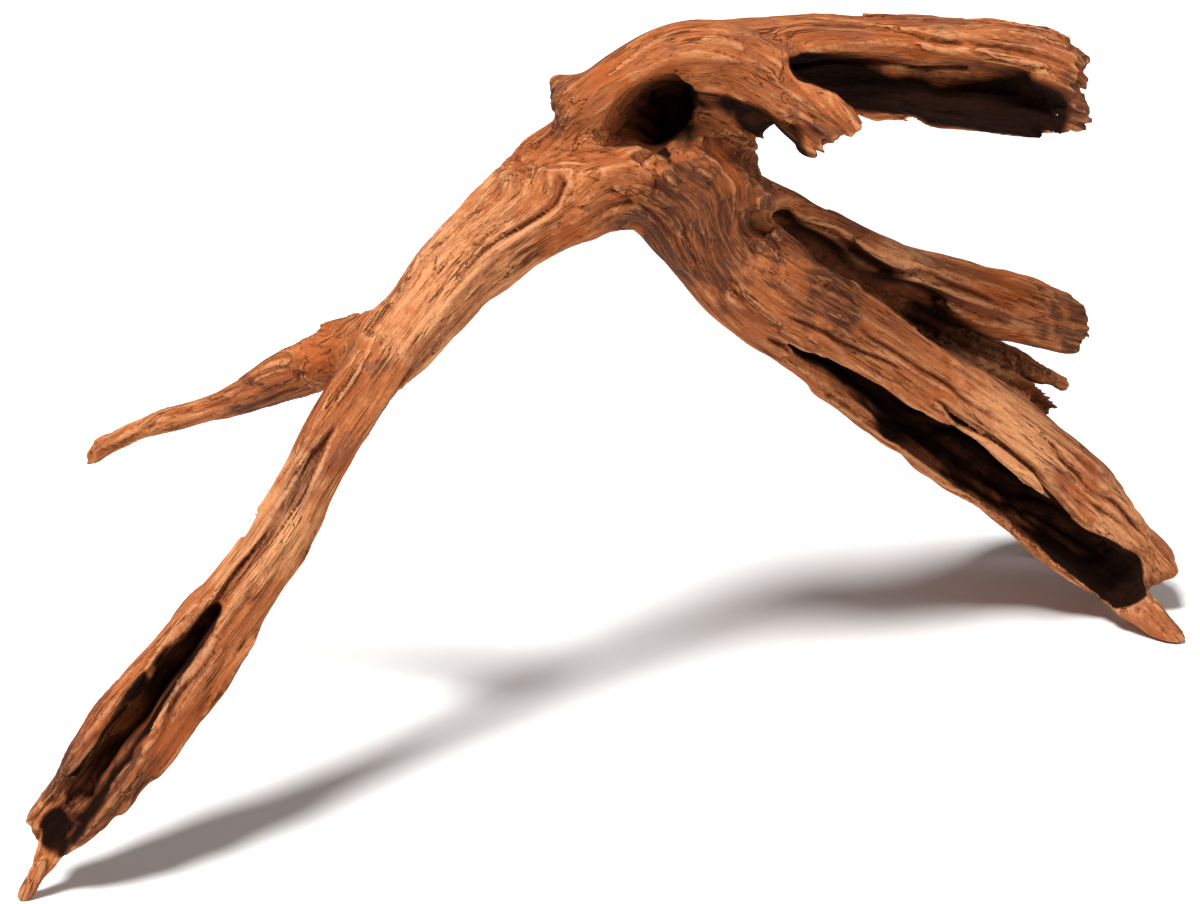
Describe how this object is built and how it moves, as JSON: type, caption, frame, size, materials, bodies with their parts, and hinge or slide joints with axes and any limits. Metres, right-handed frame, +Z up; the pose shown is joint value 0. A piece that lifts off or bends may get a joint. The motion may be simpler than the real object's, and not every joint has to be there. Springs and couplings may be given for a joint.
{
  "type": "piece of driftwood",
  "caption": "Weathered branching driftwood with a hollowed trunk, a long split leg, a side twig and broken upper limbs; stands on its own as decor.",
  "frame": {"origin": "middle of the bounding box's footprint, on the floor plane that the three feet rest on", "axes": "+X runs from the toe of the long leg towards the tip of the hollow trunk, +Y towards the back, +Z up"},
  "size_m": [0.4608, 0.2918, 0.2934],
  "materials": {
    "driftwood": "dry, matt, deeply weathered red-brown wood with open grain"
  },
  "bodies": {
    "root": {"driftwood": "driftwood"}
  },
  "joints": []
}
